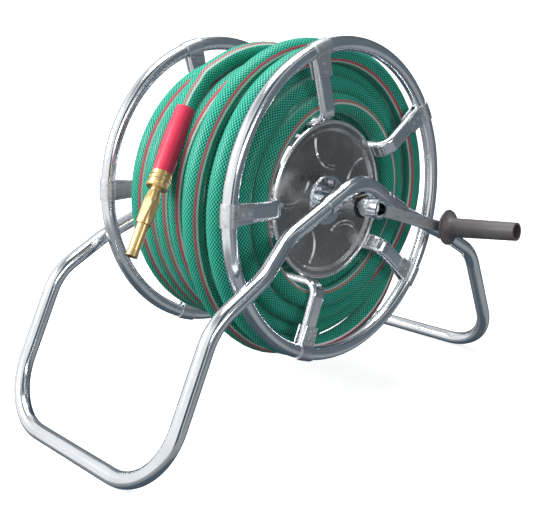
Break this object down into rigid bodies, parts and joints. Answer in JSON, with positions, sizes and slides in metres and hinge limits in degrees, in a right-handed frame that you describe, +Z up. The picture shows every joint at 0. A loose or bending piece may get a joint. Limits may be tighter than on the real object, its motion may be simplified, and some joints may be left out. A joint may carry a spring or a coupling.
{
  "type": "garden hose reel stand",
  "caption": "Free-standing tube-frame hose reel: an open drum on a bent-tube A-frame, turned by a side crank with a spinning grip, with a wound garden hose and twist nozzle.",
  "frame": {"origin": "on the floor, under the middle of the rigid object's box, so the reel's middle is 55 mm towards -X", "axes": "+X along the axle towards the crank, -Y towards the front where the nozzle hangs, +Z up"},
  "size_m": [0.426, 0.671, 0.4712],
  "materials": {
    "tube_chrome": "bright polished tube",
    "satin_steel": "satin sheet and turned steel",
    "disc_steel": "polished pressed sheet, darker than the tubes",
    "bush_plastic": "black moulded plastic",
    "grip_plastic": "dark brownish-grey moulded plastic",
    "hose_rubber": "clear-skinned green hose with a knitted mesh and coloured stripes",
    "sleeve_plastic": "red shrunk sleeve",
    "nozzle_brass": "bright turned brass"
  },
  "bodies": {
    "stand": {"front_hoop": "tube_chrome", "back_hoop": "tube_chrome", "peak_sleeve_crank_side": "tube_chrome", "bearing_housing_crank_side": "tube_chrome", "bush_crank_side": "bush_plastic", "peak_sleeve_plain_side": "tube_chrome", "bearing_housing_plain_side": "tube_chrome", "bush_plain_side": "bush_plastic"},
    "reel": {"ring_crank_side": "tube_chrome", "hub_disc_crank_side": "disc_steel", "hub_cup_crank_side": "disc_steel", "ring_plain_side": "tube_chrome", "hub_disc_plain_side": "disc_steel", "hub_cup_plain_side": "disc_steel", "clamp_crank_side_1": "satin_steel", "clamp_crank_side_2": "satin_steel", "clamp_crank_side_3": "satin_steel", "clamp_crank_side_4": "satin_steel", "clamp_crank_side_5": "satin_steel", "clamp_plain_side_1": "satin_steel", "clamp_plain_side_2": "satin_steel", "clamp_plain_side_3": "satin_steel", "clamp_plain_side_4": "satin_steel", "clamp_plain_side_5": "satin_steel", "cross_bar_1": "tube_chrome", "cross_bar_2": "tube_chrome", "cross_bar_3": "tube_chrome", "cross_bar_4": "tube_chrome", "cross_bar_5": "tube_chrome", "axle": "tube_chrome", "end_collar": "satin_steel", "crank_boss": "tube_chrome", "crank_arm": "tube_chrome", "crank_bolt": "satin_steel", "grip_spindle": "satin_steel", "grip_washer": "satin_steel", "hose_core": "hose_rubber", "hose_winding": "hose_rubber", "hose_sleeve": "sleeve_plastic", "hose_tail": "nozzle_brass"},
    "grip": {"grip": "grip_plastic"},
    "nozzle_base": {"nozzle_nut": "nozzle_brass", "nozzle_stem": "nozzle_brass"},
    "nozzle_barrel": {"nozzle_barrel": "nozzle_brass"}
  },
  "joints": [
    {"name": "reel_spin", "type": "hinge", "parent": "stand", "child": "reel", "pos_m": [-0.05503, 0, 0.272], "axis": [1, 0, 0], "continuous": true},
    {"name": "grip_spin", "type": "hinge", "parent": "reel", "child": "grip", "pos_m": [0.10841, 0.15028, 0.22832], "axis": [0.9954, 0.0271, 0.0919], "continuous": true},
    {"name": "nozzle_swivel", "type": "hinge", "parent": "reel", "child": "nozzle_base", "pos_m": [-0.06063, -0.1874, 0.3136], "axis": [0.1411, -0.5464, -0.8255], "continuous": true},
    {"name": "nozzle_twist", "type": "hinge", "parent": "nozzle_base", "child": "nozzle_barrel", "pos_m": [-0.06063, -0.1874, 0.3136], "axis": [0.1411, -0.5464, -0.8255], "range_deg": [0, 540]}
  ]
}
